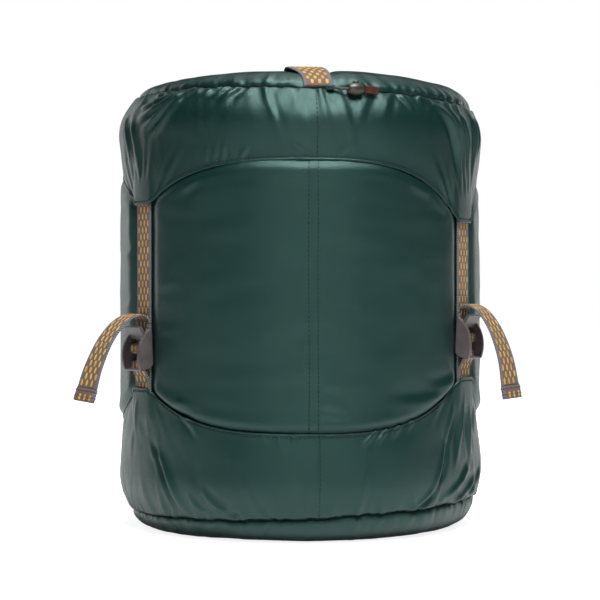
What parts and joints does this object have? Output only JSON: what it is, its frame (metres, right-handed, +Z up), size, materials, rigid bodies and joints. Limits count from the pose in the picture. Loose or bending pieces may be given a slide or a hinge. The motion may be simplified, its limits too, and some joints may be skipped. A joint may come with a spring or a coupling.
{
  "type": "compression sack",
  "caption": "Stuffed cylindrical fabric compression sack, with a domed lid pulled towards its base by side straps through ladder-lock buckles, and a webbing grab handle.",
  "frame": {"origin": "centre of the flat patch of the bottom that the sack stands on", "axes": "+Z up along the sack's axis, from base to lid; the front, midway between the left and right straps, faces -Y; +X to the right as seen from the front"},
  "size_m": [0.3084, 0.3033, 0.3304],
  "materials": {
    "coated_nylon": "satin",
    "stuffing": "matte",
    "webbing": "matte",
    "buckle_plastic": "satin",
    "cord": "matte",
    "lock_plastic": "satin",
    "tab_leather": "satin",
    "spring_steel": "satin"
  },
  "bodies": {
    "base": {"base_disc": "coated_nylon", "base_skirt": "coated_nylon", "sack_tube": "coated_nylon", "sack_mouth": "coated_nylon", "mouth_hem": "coated_nylon", "mouth_drawcord": "cord", "packed_contents": "stuffing", "buckle_loop_left": "webbing", "buckle_loop_right": "webbing", "buckle_loop_back": "webbing"},
    "lid": {"lid_disc": "coated_nylon", "lid_skirt": "coated_nylon", "grab_handle": "webbing", "strap_run_left": "webbing", "strap_run_right": "webbing", "strap_run_back": "webbing", "drawcord_sleeve": "webbing", "drawcord": "cord", "cord_tab": "tab_leather"},
    "ladder_lock_left": {"ladder_lock_left": "buckle_plastic", "strap_wrap_left": "webbing", "strap_tail_left": "webbing"},
    "strap_end_left": {"strap_hem_left": "webbing"},
    "ladder_lock_right": {"ladder_lock_right": "buckle_plastic", "strap_wrap_right": "webbing", "strap_tail_right": "webbing"},
    "strap_end_right": {"strap_hem_right": "webbing"},
    "ladder_lock_back": {"ladder_lock_back": "buckle_plastic", "strap_wrap_back": "webbing", "strap_tail_back": "webbing"},
    "strap_end_back": {"strap_hem_back": "webbing"},
    "cord_lock": {"cord_lock_barrel": "lock_plastic", "cord_lock_spring": "spring_steel"},
    "cord_lock_button": {"cord_lock_plunger": "lock_plastic"}
  },
  "joints": [
    {"name": "lid_slide", "type": "slide", "parent": "base", "child": "lid", "axis": [0, 0, 1], "range_m": [-0.04, 0.04], "deforming": ["sack_tube", "sack_mouth", "mouth_hem", "mouth_drawcord", "packed_contents", "strap_run_left", "strap_run_right", "strap_run_back"]},
    {"name": "ladder_lock_left_tilt", "type": "hinge", "parent": "base", "child": "ladder_lock_left", "pos_m": [-0.11384, -0.06573, 0.119], "axis": [0.5, -0.866, 0], "range_deg": [0, 30], "stiffness_Nm_per_rad": 0.02},
    {"name": "ladder_lock_right_tilt", "type": "hinge", "parent": "base", "child": "ladder_lock_right", "pos_m": [0.11384, -0.06573, 0.127], "axis": [0.5, 0.866, 0], "range_deg": [0, 30], "stiffness_Nm_per_rad": 0.02},
    {"name": "ladder_lock_back_tilt", "type": "hinge", "parent": "base", "child": "ladder_lock_back", "pos_m": [0, 0.13145, 0.123], "axis": [-1, 0, 0], "range_deg": [0, 30], "stiffness_Nm_per_rad": 0.02},
    {"name": "strap_end_left_pull", "type": "slide", "parent": "ladder_lock_left", "child": "strap_end_left", "axis": [-0.2689, -0.1553, -0.9506], "range_m": [-0.04, 0.04], "deforming": ["strap_tail_left"]},
    {"name": "strap_end_right_pull", "type": "slide", "parent": "ladder_lock_right", "child": "strap_end_right", "axis": [0.1572, -0.0908, -0.9834], "range_m": [-0.04, 0.04], "deforming": ["strap_tail_right"]},
    {"name": "strap_end_back_pull", "type": "slide", "parent": "ladder_lock_back", "child": "strap_end_back", "axis": [0, 0.2386, -0.9711], "range_m": [-0.04, 0.04], "deforming": ["strap_tail_back"]},
    {"name": "cord_lock_slide", "type": "slide", "parent": "lid", "child": "cord_lock", "axis": [0.9659, 0.2588, 0], "range_m": [-0.003, 0]},
    {"name": "cord_lock_press", "type": "slide", "parent": "cord_lock", "child": "cord_lock_button", "axis": [0, 0, 1], "range_m": [-0.0008, 0], "stiffness_N_per_m": 300, "springref_m": 0.0004, "deforming": ["cord_lock_spring"]}
  ],
  "couplings": [
    {"joint": "strap_end_left_pull", "follows": "lid_slide", "ratio": -1},
    {"joint": "strap_end_right_pull", "follows": "lid_slide", "ratio": -1},
    {"joint": "strap_end_back_pull", "follows": "lid_slide", "ratio": -1}
  ]
}
